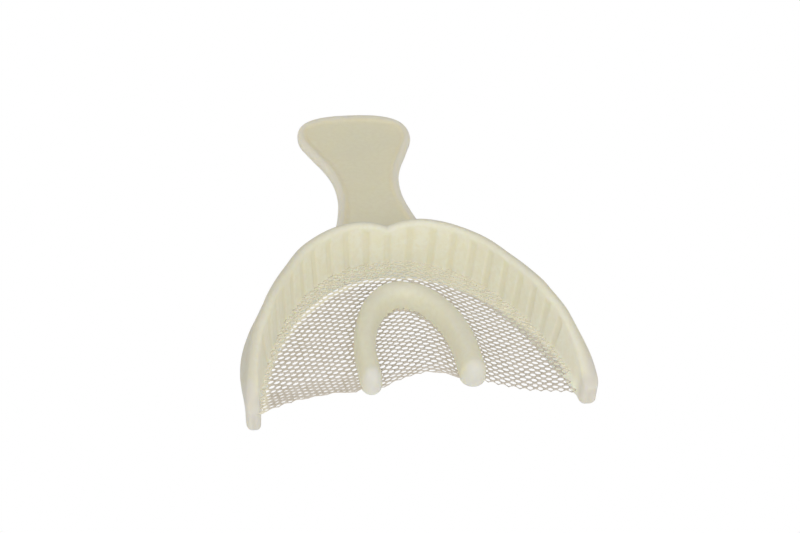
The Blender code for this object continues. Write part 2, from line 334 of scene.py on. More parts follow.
def groove_across(length):
    """1 in the middle of a groove, 0 on a rib, with soft flanks."""
    nearest = round(abs(length) / RIB_PITCH)
    if nearest > GROOVES_EACH_SIDE:
        return 0.0
    away = abs(abs(length) - nearest * RIB_PITCH)
    return 1 - smoothstep((away - GROOVE_HALF_WIDTH + GROOVE_FLANK) / (2 * GROOVE_FLANK))


def groove_up(z, top):
    upper = 1 - smoothstep((z - (top - GROOVE_STOP - GROOVE_STOP_ROUND)) / GROOVE_STOP_ROUND)
    lower = smoothstep((z + SKIRT_GROOVE_STOP) / GROOVE_STOP_ROUND)
    return upper * lower


def base_spread(x, y, z, top):
    """How far the inner face stands in from the arch: most below the net, nothing at the rim.
    It stops short of the foot, which is left as a stub.
    """
    start = BASE_FADE_START_Y if x > 0 else BASE_FADE_LEFT_Y
    fade = smoothstep((y - BASE_FADE_END_Y) / (start - BASE_FADE_END_Y))
    rise = 1 - min(max(z, 0.0) / top, 1.0)
    deep = smoothstep(-z / SKIRT_DEPTH)
    return BASE_SPREAD * fade * rise * (BASE_SHARE_AT_NET + (1 - BASE_SHARE_AT_NET) * deep)


def inner_heights(bottom, inner_top):
    """Heights of the points up the inner face, closest together at the net."""
    heights = list(np.linspace(bottom + SKIRT_INNER_ROUND, INNER_LOW_TOP, INNER_LOW_COUNT))
    heights += INNER_NET_HEIGHTS
    shares = np.linspace(0, 1, INNER_HIGH_COUNT)[:-1] ** INNER_HIGH_POWER
    heights += list(INNER_HIGH_START + (inner_top - INNER_HIGH_START) * shares)
    if inner_top < INNER_HIGH_START:
        falling = enumerate(reversed(heights))
        heights = sorted(min(height, inner_top - LEAST_RISE * k) for k, height in falling)
    return [float(height) for height in heights]


def wall_section(length):
    """One closed section: (offset outward, height, depth of groove, painted highlight), and the share of
    painted shade at each point.
    """
    (x, y), _ = arch_place(length)
    top = rim_height(x, y)
    radius = min(RIM_RADIUS, RIM_MOST_SHARE * top)
    bottom = -SKIRT_DEPTH
    if x > 0:
        bottom += RIGHT_FOOT_LIFT * smoothstep((FOOT_START_Y - y) / FOOT_START_Y)
    swell = belly(y)
    shift = shoulder(y)
    thickness = WALL_THICKNESS + foot_shift(x, y)
    across = groove_across(length)
    inner_top = top - radius
    points = []
    painted_shade = []

    def add(offset, z, outer_share, depth=0.0, pale=0.0):
        points.append((offset, z, depth, pale))
        painted_shade.append(outer_share)

    full_lean = (RIM_LEAN - shift) * min(inner_top / FULL_LEAN_HEIGHT, 1.0)
    for z in inner_heights(bottom, inner_top):
        lean = full_lean * max(z, 0.0) / max(inner_top, 0.0001)
        spread = base_spread(x, y, z, inner_top)
        depth = across * groove_up(z, top)
        # Painted highlight: a greyer, washed-out colour in a band below the rim, deeper on the ribs than
        # in the grooves.
        band = RIM_BAND * (1 - RIM_BAND_LOSS_IN_GROOVE * across)
        pale = (RIM_HIGHLIGHT + RIB_TOP_HIGHLIGHT * (1 - across)) * smoothstep((z - (top - band)) / band)
        add(lean + GROOVE_DEPTH * depth - spread, z, 0.0, depth, pale)
    centre = (full_lean + thickness - shift) / 2
    side = (thickness - shift - full_lean) / 2
    # Round the rim the painted shade grows towards the outer side, under a painted highlight.
    for step in range(RIM_ARC_STEPS + 1):
        angle = math.pi * (1 - step / RIM_ARC_STEPS)
        outer_share = smoothstep(step / RIM_SHADE_STEPS)
        add(centre + side * math.cos(angle), inner_top + radius * math.sin(angle), outer_share, pale=RIM_HIGHLIGHT)
    for share in OUTER_SHARES:
        bulge = swell * (1 - smoothstep((share - BELLY_FALL_START) / BELLY_FALL_LENGTH))
        pale = RIM_HIGHLIGHT * smoothstep((inner_top * share - (top - RIM_BAND)) / RIM_BAND)
        add(thickness + bulge - shift * share, inner_top * share, 1.0, pale=pale)
    for share in SKIRT_SHARES:
        bulge = swell * (1 - BELLY_LOSS_AT_FOOT * smoothstep(share))
        add(thickness + bulge, (bottom + SKIRT_ROUND) * share, 1.0)
    outer = thickness + swell * (1 - BELLY_LOSS_AT_FOOT)
    for step in range(SKIRT_OUTER_STEPS + 1):
        angle = math.pi / 2 * step / SKIRT_OUTER_STEPS
        add(outer - SKIRT_ROUND * (1 - math.cos(angle)), bottom + SKIRT_ROUND * (1 - math.sin(angle)), 1.0)
    inset = base_spread(x, y, bottom, top)
    for step in range(SKIRT_INNER_STEPS + 1):
        angle = math.pi / 2 * step / (SKIRT_INNER_STEPS + 1)
        inner = SKIRT_INNER_ROUND * (1 - math.sin(angle)) - inset
        add(inner, bottom + SKIRT_INNER_ROUND * (1 - math.cos(angle)), 0.0)
    return points, painted_shade, top


def make_wall():
    inner = np.arange(0.0, ARCH_HALF_LENGTH - END_ROUND, WALL_STEP)
    angles = np.linspace(0, math.pi / 2, END_STEPS)
    tail = [ARCH_HALF_LENGTH - END_ROUND * (1 - math.sin(angle)) for angle in angles]
    half = list(inner) + tail[:-1]
    stations = [-value for value in reversed(half[1:])] + half
    rings = []
    depths = []
    painted_highlights = []
    painted_shades = []
    middle = WALL_THICKNESS / 2
    for length in stations:
        length = float(length)
        points, painted_shade, top = wall_section(length)
        (x, y), normal = arch_place(length)
        left = (ARCH_HALF_LENGTH - abs(length)) / END_ROUND
        scale = 1.0 if left >= 1 else max(1 - (1 - left) ** END_POWER, 0.0) ** (1 / END_POWER)
        centre_z = (top - SKIRT_DEPTH) / 2
        ring = []
        # Painted highlight at the outer end of each arm and on the stub.
        at_end = smoothstep((END_HIGHLIGHT_Y - y) / END_HIGHLIGHT_LENGTH)
        at_stub = smoothstep((STUB_HIGHLIGHT_Y - y) / STUB_HIGHLIGHT_LENGTH)
        for (offset, z, depth, pale), outer_share in zip(points, painted_shade):
            offset = middle + (offset - middle) * scale
            z = centre_z + (z - centre_z) * (1 - END_FLATTEN * (1 - scale))
            ring.append(placed(x + normal[0] * offset, y + normal[1] * offset, z))
            depths.append(depth)
            painted_highlights.append(max(pale, at_end * outer_share, at_stub))
            # Painted shade on the outer side and the stub, less of it at the end.
            painted_shades.append(max(outer_share, at_stub) * (1 - END_SHADE_LOSS * at_end))
        rings.append(ring)
    wall = loft("buccal_wall", rings)
    store(wall, "groove", depths, 0.0)
    store(wall, "pale", painted_highlights, 1.0)
    store(wall, "painted_shade", painted_shades, 1.0)
    return wall


# ---------------------------------------------------------------- the lingual bar

def bar_side(span, half_width, tip_y):
    """(point, outward normal, scale, half width) from the apex to a tip, on the +X side."""
    rise = BAR_APEX_Y - BAR_ARM_TOP_Y
    half = []
    for step in range(BAR_APEX_STEPS + 1):
        angle = math.pi / 2 * step / BAR_APEX_STEPS
        point = (span * math.sin(angle), BAR_ARM_TOP_Y + rise * math.cos(angle))
        across = (math.sin(angle) * rise, math.cos(angle) * span)
        norm = math.hypot(*across)
        share = smoothstep(step / BAR_APEX_STEPS)
        width = BAR_APEX_HALF_WIDTH + (half_width - BAR_APEX_HALF_WIDTH) * share
        half.append((point, (across[0] / norm, across[1] / norm), 1.0, width))
    arm_end = tip_y + BAR_TIP_ROUND
    for y in np.linspace(BAR_ARM_TOP_Y, arm_end, BAR_ARM_STEPS)[1:]:
        half.append(((span, float(y)), (1.0, 0.0), 1.0, half_width))
    for step in range(1, BAR_TIP_STEPS + 1):
        angle = math.pi / 2 * step / TIP_ARC_END
        y = arm_end - BAR_TIP_ROUND * math.sin(angle)
        half.append(((span, y), (1.0, 0.0), math.cos(angle) ** TIP_TAPER, half_width))
    return half


def bar_path():
    left = bar_side(BAR_LEFT_SPAN, BAR_LEFT_HALF_WIDTH, BAR_LEFT_TIP_Y)
    right = bar_side(BAR_RIGHT_SPAN, BAR_RIGHT_HALF_WIDTH, BAR_RIGHT_TIP_Y)
    mirrored = [((-p[0], p[1]), (-n[0], n[1]), scale, w) for p, n, scale, w in reversed(left[1:])]
    return mirrored + right


def make_bar():
    rings = []
    painted_highlights = []
    for point, normal, scale, half_width in bar_path():
        ring = []
        near_tip = smoothstep((TIP_HIGHLIGHT_Y - point[1]) / TIP_HIGHLIGHT_LENGTH)
        at_tip = smoothstep((TIP_END_HIGHLIGHT_Y - point[1]) / TIP_END_HIGHLIGHT_LENGTH)
        for step in range(BAR_RING_STEPS):
            angle = 2 * math.pi * step / BAR_RING_STEPS
            across = math.cos(angle)
            up = math.sin(angle)
            offset = half_width * scale * math.copysign(abs(across) ** BAR_SQUARENESS, across)
            height = BAR_TOP if up >= 0 else BAR_BOTTOM
            height *= TIP_LEAST_HEIGHT + (1 - TIP_LEAST_HEIGHT) * scale
            z = height * math.copysign(abs(up) ** BAR_SQUARENESS, up)
            ring.append(placed(point[0] + normal[0] * offset, point[1] + normal[1] * offset, z))
            # Painted highlight: a greyer, washed-out colour along the top, stronger near and over the
            # tips.
            ridge = smoothstep((up - RIDGE_START) / RIDGE_LENGTH)
            ridge_highlight = max(near_tip * RIDGE_HIGHLIGHT_AT_TIP * ridge, RIDGE_HIGHLIGHT * ridge)
            painted_highlights.append(max(ridge_highlight, TIP_END_HIGHLIGHT * at_tip))
        rings.append(ring)
    bar = loft("lingual_bar_moulding", rings)
    store(bar, "pale", painted_highlights, 0.8)
    return bar


# ---------------------------------------------------------------- the handle

def root_line(x):
    """How far forward the handle starts: a curve inside the wall, a little past its inner face."""
    return np.interp(np.abs(x), ROOT_POINTS[:, 0], ROOT_POINTS[:, 1])


def handle_half_outline():
    widths = [(HANDLE_WIDTHS[0][0] * 2 - HANDLE_WIDTHS[1][0], HANDLE_ROOT_HALF_WIDTH)]
    widths += list(HANDLE_WIDTHS)
    points = []
    for i in range(len(widths) - 1):
        before = widths[max(i - 1, 0)]
        start, end = widths[i], widths[i + 1]
        after = widths[min(i + 2, len(widths) - 1)]
        leave = (end[1] - before[1]) / (end[0] - before[0])
        arrive = (after[1] - start[1]) / (after[0] - start[0]) if i + 2 < len(widths) else 0.0
        span = end[0] - start[0]
        for step in range(SPAN_STEPS):
            t = step / SPAN_STEPS
            value = (
                (1 + 2 * t) * (1 - t) ** 2 * start[1]
                + t * (1 - t) ** 2 * span * leave
                + t * t * (3 - 2 * t) * end[1]
                + t * t * (t - 1) * span * arrive
            )
            points.append((value, start[0] + t * span))
    widest_y, widest = widths[-1]
    length = PADDLE_END_Y - widest_y
    for step in range(PADDLE_STEPS + 1):
        angle = math.pi / 2 * step / PADDLE_STEPS
        x = widest * math.cos(angle) ** (2 / PADDLE_CORNER_POWER)
        y = widest_y + length * math.sin(angle) ** (2 / PADDLE_CORNER_POWER)
        points.append((x, y))
    points[-1] = (0.0, PADDLE_END_Y)
    return points


def even_line(points, count):
    points = np.array(points)
    steps = np.hypot(*np.diff(points, axis=0).T)
    lengths = np.concatenate(([0.0], np.cumsum(steps)))
    wanted = np.linspace(0.0, lengths[-1], count)
    return np.stack([np.interp(wanted, lengths, points[:, k]) for k in (0, 1)], axis=1)


# How far in from the edge line, and how high, across the border and down into the panel.
HANDLE_PROFILE = (
    (0.0, 0.0), (0.00004, 0.00045), (0.00018, 0.00082), (0.00042, 0.00110), (0.00075, 0.00126),
    (0.00110, 0.00130), (0.00145, 0.00124), (0.00180, 0.00107), (0.00215, 0.00088),
    (0.00255, 0.00074), (0.00310, 0.00070),
)


def make_handle():
    """The edge line runs from the root, round the paddle and back. Each ring is that line set in."""
    half = handle_half_outline()
    corner = HANDLE_ROOT_HALF_WIDTH + ROOT_FLARE
    right = [(corner, float(root_line(corner)))] + half
    line = even_line(right, EDGE_LINE_POINTS)
    line = np.concatenate([line, (line[:-1] * (-1, 1))[::-1]])
    tangent = np.gradient(line, axis=0)
    tangent /= np.hypot(*tangent.T)[:, None]
    inward = np.stack([-tangent[:, 1], tangent[:, 0]], axis=1)
    build = bmesh.new()
    count = len(line)

    def ring(inset, z):
        near_end = (line[:, 1] - (PADDLE_END_Y - END_BORDER_LENGTH)) / END_BORDER_LENGTH
        wider = 1 + END_BORDER_EXTRA * np.clip(near_end, 0, 1)
        place = line + inward * (inset * wider)[:, None]
        place[:, 1] = np.maximum(place[:, 1], root_line(place[:, 0]))
        return [build.verts.new(placed(float(x), float(y), z)) for x, y in place]

    rows = [ring(inset, z) for inset, z in reversed(HANDLE_PROFILE)]
    rows += [ring(inset, -z) for inset, z in HANDLE_PROFILE[1:]]
    for row, following in zip(rows, rows[1:]):
        for i in range(count - 1):
            build.faces.new((row[i], row[i + 1], following[i + 1], following[i]))
    corner_x = rows[0][0].co.x
    across = [corner_x * (1 - 2 * step / ROOT_STEPS) for step in range(1, ROOT_STEPS)]
    root_rows = []
    for row in (rows[0], rows[-1]):
        z = row[0].co.z
        middle = [build.verts.new((x, ORIGIN.y + float(root_line(x)), z)) for x in across]
        root_rows.append([row[0]] + middle + [row[-1]])
        low = next(i for i, vert in enumerate(row) if vert.co.y > ORIGIN.y + ROOT_FACE_Y)
        build.faces.new(row[:low + 1] + row[count - 1 - low:] + middle[::-1])
        for i in range(low, count // 2):
            j = count - 1 - i
            if j - i > 2:
                build.faces.new((row[i], row[i + 1], row[j - 1], row[j]))
            elif j - i == 2:
                build.faces.new((row[i], row[i + 1], row[j]))
    for k in range(len(across) + 1):
        top, bottom = root_rows
        build.faces.new((top[k], top[k + 1], bottom[k + 1], bottom[k]))
    build.faces.new([row[0] for row in rows])
    build.faces.new([row[-1] for row in rows])
    bmesh.ops.recalc_face_normals(build, faces=build.faces)
    insets = [inset for inset, _ in HANDLE_PROFILE]
    insets = insets[::-1] + insets[1:]
    # Painted highlight: a greyer, washed-out colour on the raised border, fading into the panel.
    painted_highlights = []
    for inset in insets:
        painted_highlights += [1 - smoothstep((inset - BORDER_HIGHLIGHT_START) / BORDER_HIGHLIGHT_LENGTH)] * count
    handle = mesh_object("handle_paddle", build)
    store(handle, "pale", painted_highlights, 0.0)
    return handle


# ---------------------------------------------------------------- the net

# The weave is worked out in millimetres, in plan.
MM = 0.001
LATTICE_REACH = 75
KNOT_ROUNDS = 60
KNOT_PROBE = 1e-4
KNOT_STRIDE = 6
KNOT_LIMIT = 90
KNOT_MISS = 0.01
START_Y = 15.0

# Strands per millimetre for each phase: its slope along X, with (change, start, ease) of every bend
# to the right, and its pace along Y. The slack adds to the first phase, towards the hem on the right.
FIRST_SLOPE = 0.13
FIRST_BENDS = ((0.65, 4.0, 1.6), (-0.25, 20.0, 2.5))
FIRST_PACE = 0.74
SECOND_SLOPE = -0.66
SECOND_BENDS = ((0.47, 3.2, 1.2), (-0.17, 21.0, 2.5))
SECOND_PACE = 0.66
SLACK_START_Y = 10.0
SLACK_EASE = 6.0
SLACK = 0.0085
SLACK_SIDE_X = 11.0
SLACK_SIDE_EASE = 2.0

# The cut back edge: short straight cuts at the bar's tips, and curves between them.
LEFT_TIP_CUT = (-12.4, -7.5, -1.8)
RIGHT_TIP_CUT = (8.4, 12.6, -1.3)
LEFT_HEM_TOP_X = -15.5
LEFT_HEM_TOP_Y = -2.7
LEFT_HEM_BEND = 0.0148
MIDDLE_HEM_TOP_X = 3.0
MIDDLE_HEM_TOP_Y = 1.85
MIDDLE_HEM_BENDS = (0.037, 0.078)
RIGHT_HEM_X = 11.0
RIGHT_HEM_LOW_Y = -7.2
RIGHT_HEM_RISE = 6.2
RIGHT_HEM_START_X = 12.5
RIGHT_HEM_LENGTH = 6.5
RIGHT_HEM_POWER = 1.2
HEM_DIAGONAL_X = 17.3
HEM_DIAGONAL = 2
LOOSE_AT_RIGHT = 0.5
LOOSE_IN_MIDDLE = 0.6
LOOSE_AT_LEFT = 2.6

# Where the net bunches up beside the hem: how deep, and how much of its length is left.
GATHER_SPLIT_X = -10.4
GATHER_LEFT = (4.6, 0.62)
GATHER_MIDDLE = (2.2, 0.75)

# How far the crossings stray: slow waves and quick scatter. A layer is the height in the noise at
# which it is read.
SLOW_PITCH = 0.23
SLOW_LAYER = 3.1
QUICK_PITCH = 1.9
QUICK_LAYER = 8.7
SLOW_STRAY = (0.42, 0.34)
QUICK_STRAY = (0.16, 0.14, 0.05)

# The edge of the moulded-in stretch is ragged.
RAGGED_REACH = 0.5 * MM
RAGGED_PITCH = 0.5
RAGGED_LAYER = 2.5

# Strand widths go in steps, from the narrowest level to the widest.
LEAST_LEVEL = -2
MOST_LEVEL = 5
LEVEL_BASE = 0.86
LEVEL_STEP = 0.09
LEVEL_AT_LEFT = 3.2
LEVEL_AT_MIDDLE = -1.5
LEVEL_MIDDLE_GAIN = 3.0
LEVEL_AT_RIGHT = -0.5
LEVEL_SPLIT_X = 9.0
LEVEL_GAIN_START_X = 2.5
LEVEL_GAIN_LENGTH = 3.0
LEVEL_PATCHES = 3
PATCH_PITCH = 0.33
PATCH_LAYER = 5.5
LEVEL_AT_HEM = 1.5
HEM_BAND = 3.5


def softplus(value):
    return np.logaddexp(0.0, value)


def sigmoid(value):
    return 1 / (1 + np.exp(-value))


def phases(x, y):
    """Two fields in plan. Each strand is where one of them is a whole number."""
    slack = SLACK_EASE * softplus((SLACK_START_Y - y) / SLACK_EASE)
    first = FIRST_SLOPE * x + FIRST_PACE * y
    first = first + SLACK * slack ** 2 * sigmoid((x - SLACK_SIDE_X) / SLACK_SIDE_EASE)
    second = SECOND_SLOPE * x + SECOND_PACE * y
    for change, start, ease in FIRST_BENDS:
        first = first + change * ease * softplus((x - start) / ease)
    for change, start, ease in SECOND_BENDS:
        second = second + change * ease * softplus((x - start) / ease)
    return first, second


def hem_y(x):
    """The cut back edge of the net. It stops inside the tips of the bar."""
    for start, end, height in (LEFT_TIP_CUT, RIGHT_TIP_CUT):
        if start < x < end:
            return height
    if x <= LEFT_TIP_CUT[0]:
        return LEFT_HEM_TOP_Y - LEFT_HEM_BEND * (x - LEFT_HEM_TOP_X) ** 2
    if x < RIGHT_HEM_X:
        bend = MIDDLE_HEM_BENDS[0] if x < MIDDLE_HEM_TOP_X else MIDDLE_HEM_BENDS[1]
        return MIDDLE_HEM_TOP_Y - bend * (x - MIDDLE_HEM_TOP_X) ** 2
    away = max(x - RIGHT_HEM_START_X, 0.0) / RIGHT_HEM_LENGTH
    return RIGHT_HEM_LOW_Y + RIGHT_HEM_RISE * math.exp(-away ** RIGHT_HEM_POWER)


def inside_arch(x, y, reach):
    """x and y in millimetres; reach, how far the arch is grown, in metres."""
    x = abs(x) / ((ARCH_HALF_WIDTH + reach) / MM)
    y = (y - WALL_END_Y / MM) / ((ARCH_DEPTH + reach) / MM)
    if y <= 0:
        return x < 1
    return x ** ARCH_POWER_X + y ** ARCH_POWER_Y < 1


def net_reach(x, y):
    """How far past the arch line the net is kept, in metres."""
    if x > NET_CORNER_X and y < NET_CORNER_CUT_Y:
        return NET_REACH_AT_CORNER
    return NET_REACH_AT_END if y < NET_END_Y else NET_REACH_IN_WALL


def knots():
    """Solve for the place of every crossing, and say which ones were found."""
    numbers = np.arange(-LATTICE_REACH, LATTICE_REACH)
    i, j = np.meshgrid(numbers, numbers, indexing="ij")
    x = np.zeros(i.shape)
    y = np.full(i.shape, START_Y)
    for _ in range(KNOT_ROUNDS):
        first, second = phases(x, y)
        first_x, second_x = phases(x + KNOT_PROBE, y)
        first_y, second_y = phases(x, y + KNOT_PROBE)
        a, b = (first_x - first) / KNOT_PROBE, (first_y - first) / KNOT_PROBE
        c, d = (second_x - second) / KNOT_PROBE, (second_y - second) / KNOT_PROBE
        det = a * d - b * c
        miss_first, miss_second = i - first, j - second
        stride_x = np.clip((d * miss_first - b * miss_second) / det, -KNOT_STRIDE, KNOT_STRIDE)
        stride_y = np.clip((a * miss_second - c * miss_first) / det, -KNOT_STRIDE, KNOT_STRIDE)
        x = np.clip(x + stride_x, -KNOT_LIMIT, KNOT_LIMIT)
        y = np.clip(y + stride_y, -KNOT_LIMIT, KNOT_LIMIT)
    first, second = phases(x, y)
    solved = (np.abs(first - i) < KNOT_MISS) & (np.abs(second - j) < KNOT_MISS)
    return x, y, solved


def wander(x, y):
    """The unevenness of a soft mesh: slow waves and a little scatter at each crossing."""
    slow = noise.noise_vector(Vector((x * SLOW_PITCH, y * SLOW_PITCH, SLOW_LAYER)))
    quick = noise.noise_vector(Vector((x * QUICK_PITCH, y * QUICK_PITCH, QUICK_LAYER)))
    return (
        SLOW_STRAY[0] * slow.x + QUICK_STRAY[0] * quick.x,
        SLOW_STRAY[1] * slow.y + QUICK_STRAY[1] * quick.y,
        QUICK_STRAY[2] * quick.z,
    )


def gathered(x, y):
    """Beside the hem the left and middle stretches bunch up, and the right one doesn't."""
    hem = hem_y(x)
    away = y - hem
    if x >= RIGHT_HEM_X:
        return y
    depth, squeeze = GATHER_LEFT if x < GATHER_SPLIT_X else GATHER_MIDDLE
    if away > depth:
        return y
    return hem + max(depth - (depth - away) * squeeze, 0.0)


def past_hem(corner_x, corner_y, diagonal):
    """True for a cell that the cut along the back leaves on the net."""
    x = sum(corner_x) / len(corner_x)
    y = sum(corner_y) / len(corner_y)
    if x > HEM_DIAGONAL_X:
        return diagonal >= HEM_DIAGONAL
    if x > RIGHT_HEM_X:
        return min(b - hem_y(a) for a, b in zip(corner_x, corner_y)) >= -LOOSE_AT_RIGHT
    return y >= hem_y(x) - (LOOSE_AT_LEFT if x < GATHER_SPLIT_X else LOOSE_IN_MIDDLE)


def make_lattice():
    """The weave as a surface of four-sided cells, one for each hole, in metres."""
    noise.seed_set(WEAVE_SEED)
    x, y, solved = knots()
    build = bmesh.new()
    verts = {}
    cells = []

    def vert(i, j):
        if (i, j) not in verts:
            px, py = float(x[i, j]), float(y[i, j])
            dx, dy, dz = wander(px, py)
            px, py = px + dx, gathered(px + dx, py + dy)
            verts[i, j] = build.verts.new((px * MM, py * MM, dz * MM))
        return verts[i, j]

    rows, columns = x.shape
    for row in range(rows - 1):
        for column in range(columns - 1):
            corners = ((row, column), (row + 1, column), (row + 1, column + 1), (row, column + 1))
            if not all(solved[c] for c in corners):
                continue
            px = [float(x[c]) for c in corners]
            py = [float(y[c]) for c in corners]
            if not all(inside_arch(a, b, net_reach(a, b)) for a, b in zip(px, py)):
                continue
            if not past_hem(px, py, row + column - 2 * LATTICE_REACH):
                continue
            cells.append([vert(*c) for c in corners])
    for corners in cells:
        build.faces.new(corners)
    bmesh.ops.recalc_face_normals(build, faces=build.faces)
    return build


def sunk_width(y):
    """How far the strands run moulded in beside the wall, in metres: furthest at the front."""
    return SUNK_AT_FRONT * min(max(y / SUNK_FULL_Y, 0.0), 1.0) ** SUNK_POWER


def is_sunk(middle):
    """True where the strands are sunk in the wall's plastic, with a ragged edge."""
    x, y = middle.x / MM, middle.y / MM
    width = sunk_width(middle.y)
    place = Vector((x * RAGGED_PITCH, y * RAGGED_PITCH, RAGGED_LAYER))
    return not inside_arch(x, y, -width - RAGGED_REACH * noise.noise(place))


def moulded_in(x, y):
    """1 where plastic has run along the strands, 0 in the open net, in a few steps."""
    width = sunk_width(y) + TINT_BEYOND
    sunk = [not inside_arch(x / MM, y / MM, -width - step * TINT_EDGE) for step in range(TINT_STEPS)]
    return sum(sunk) / len(sunk)


def strand_level(x, y):
    """How wide the strands are round a hole, as a whole number of steps."""
    if x < -LEVEL_SPLIT_X:
        base = LEVEL_AT_LEFT
    elif x < LEVEL_SPLIT_X:
        gain = smoothstep((x - LEVEL_GAIN_START_X) / LEVEL_GAIN_LENGTH)
        base = LEVEL_AT_MIDDLE + LEVEL_MIDDLE_GAIN * gain
    else:
        base = LEVEL_AT_RIGHT
    patch = LEVEL_PATCHES * noise.noise(Vector((x * PATCH_PITCH, y * PATCH_PITCH, PATCH_LAYER)))
    near_hem = LEVEL_AT_HEM * (1 - smoothstep((y - hem_y(x)) / HEM_BAND))
    return round(min(max(base + patch + near_hem, LEAST_LEVEL), MOST_LEVEL))


def net_mesh():
    """Open every cell of the lattice, give the strands a thickness and round them.

    Also gives the area of the sheet with its holes.
    """
    build = make_lattice()
    area = sum(face.calc_area() for face in build.faces)
    groups = {}
    for face in build.faces:
        middle = face.calc_center_median()
        x, y = middle.x / MM, middle.y / MM
        groups.setdefault((strand_level(x, y), is_sunk(middle)), []).append(face)
    for (level, sunk), faces in sorted(groups.items()):
        width = STRAND_HALF_WIDTH * (SUNK_STRAND_SHARE if sunk else LEVEL_BASE + LEVEL_STEP * level)
        bmesh.ops.inset_individual(build, faces=faces, thickness=width, use_even_offset=True)
        bmesh.ops.delete(build, geom=faces, context="FACES_ONLY")
    obj = mesh_object("net_whole", build)
    crease = obj.data.attributes.new("crease_vert", "FLOAT", "POINT")
    crease.data.foreach_set("value", [STRAND_CREASE] * len(obj.data.vertices))
    thick = obj.modifiers.new("thick", "SOLIDIFY")
    thick.thickness = 2 * NET_HALF_THICKNESS
    thick.offset = 0.0
    rounded = obj.modifiers.new("rounded", "SUBSURF")
    rounded.levels = 1
    rounded.render_levels = 1
    graph = bpy.context.evaluated_depsgraph_get()
    mesh = bpy.data.meshes.new_from_object(obj.evaluated_get(graph))
    bpy.data.objects.remove(obj, do_unlink=True)
    return mesh, area


# The net is one sheet in four pieces, because the bar tilts in the middle of it. Outside the bar
# the pieces meet where their two blends agree.
SIDE_START = (Vector((33.3, -2.0)) * MM, Vector((13.0, 36.5)) * MM)
SIDE_WIDTH = 9.4 * MM
FRONT_START_Y = 36.5 * MM
FRONT_END_Y = 29.4 * MM
FRONT_LEAST_Y = 15.0 * MM
SIDE_LINE = (SIDE_START[1] - SIDE_START[0]).normalized()
SIDE_NORMAL = Vector((SIDE_LINE.y, -SIDE_LINE.x))
SIDE_LEVEL = SIDE_NORMAL.dot(SIDE_START[0])


def bar_shadow(x, y):
    """True inside the middle line of the bar, x and y in metres."""
    span = BAR_LEFT_SPAN if x < 0 else BAR_RIGHT_SPAN
    if y < BAR_ARM_TOP_Y:
        return abs(x) < span
    rise = BAR_APEX_Y - BAR_ARM_TOP_Y
    return (x / span) ** 2 + ((y - BAR_ARM_TOP_Y) / rise) ** 2 < 1


def net_region(x, y):
    if bar_shadow(x, y):
        return "net_middle"
    side = (SIDE_LEVEL - SIDE_NORMAL.dot(Vector((abs(x), y)))) / SIDE_WIDTH
    front = (FRONT_START_Y - y) / (FRONT_START_Y - FRONT_END_Y)
    if y > FRONT_LEAST_Y and front < side:
        return "net_front"
    return "net_left" if x < 0 else "net_right"


def make_net():
    mesh, area = net_mesh()
    regions = {}
    for polygon in mesh.polygons:
        regions.setdefault(net_region(*polygon.center[:2]), []).append(polygon.index)
    pieces = {}
    total = len(mesh.polygons)
    for name in sorted(regions):
        build = bmesh.new()
        build.from_mesh(mesh)
        build.faces.ensure_lookup_table()
        kept = set(regions[name])
        gone = [face for face in build.faces if face.index not in kept]
        bmesh.ops.delete(build, geom=gone, context="FACES")
        rims = [edge for edge in build.edges if edge.is_boundary]
        bmesh.ops.holes_fill(build, edges=rims, sides=0)
        tints = [moulded_in(*vertex.co[:2]) for vertex in build.verts]
        for vertex in build.verts:
            vertex.co = placed(*vertex.co)
        piece = mesh_object(name, build)
        store(piece, "tint", tints, 0.0)
        pieces[name] = (piece, area * len(kept) / total)
    bpy.data.meshes.remove(mesh)
    return pieces


# ---------------------------------------------------------------- materials

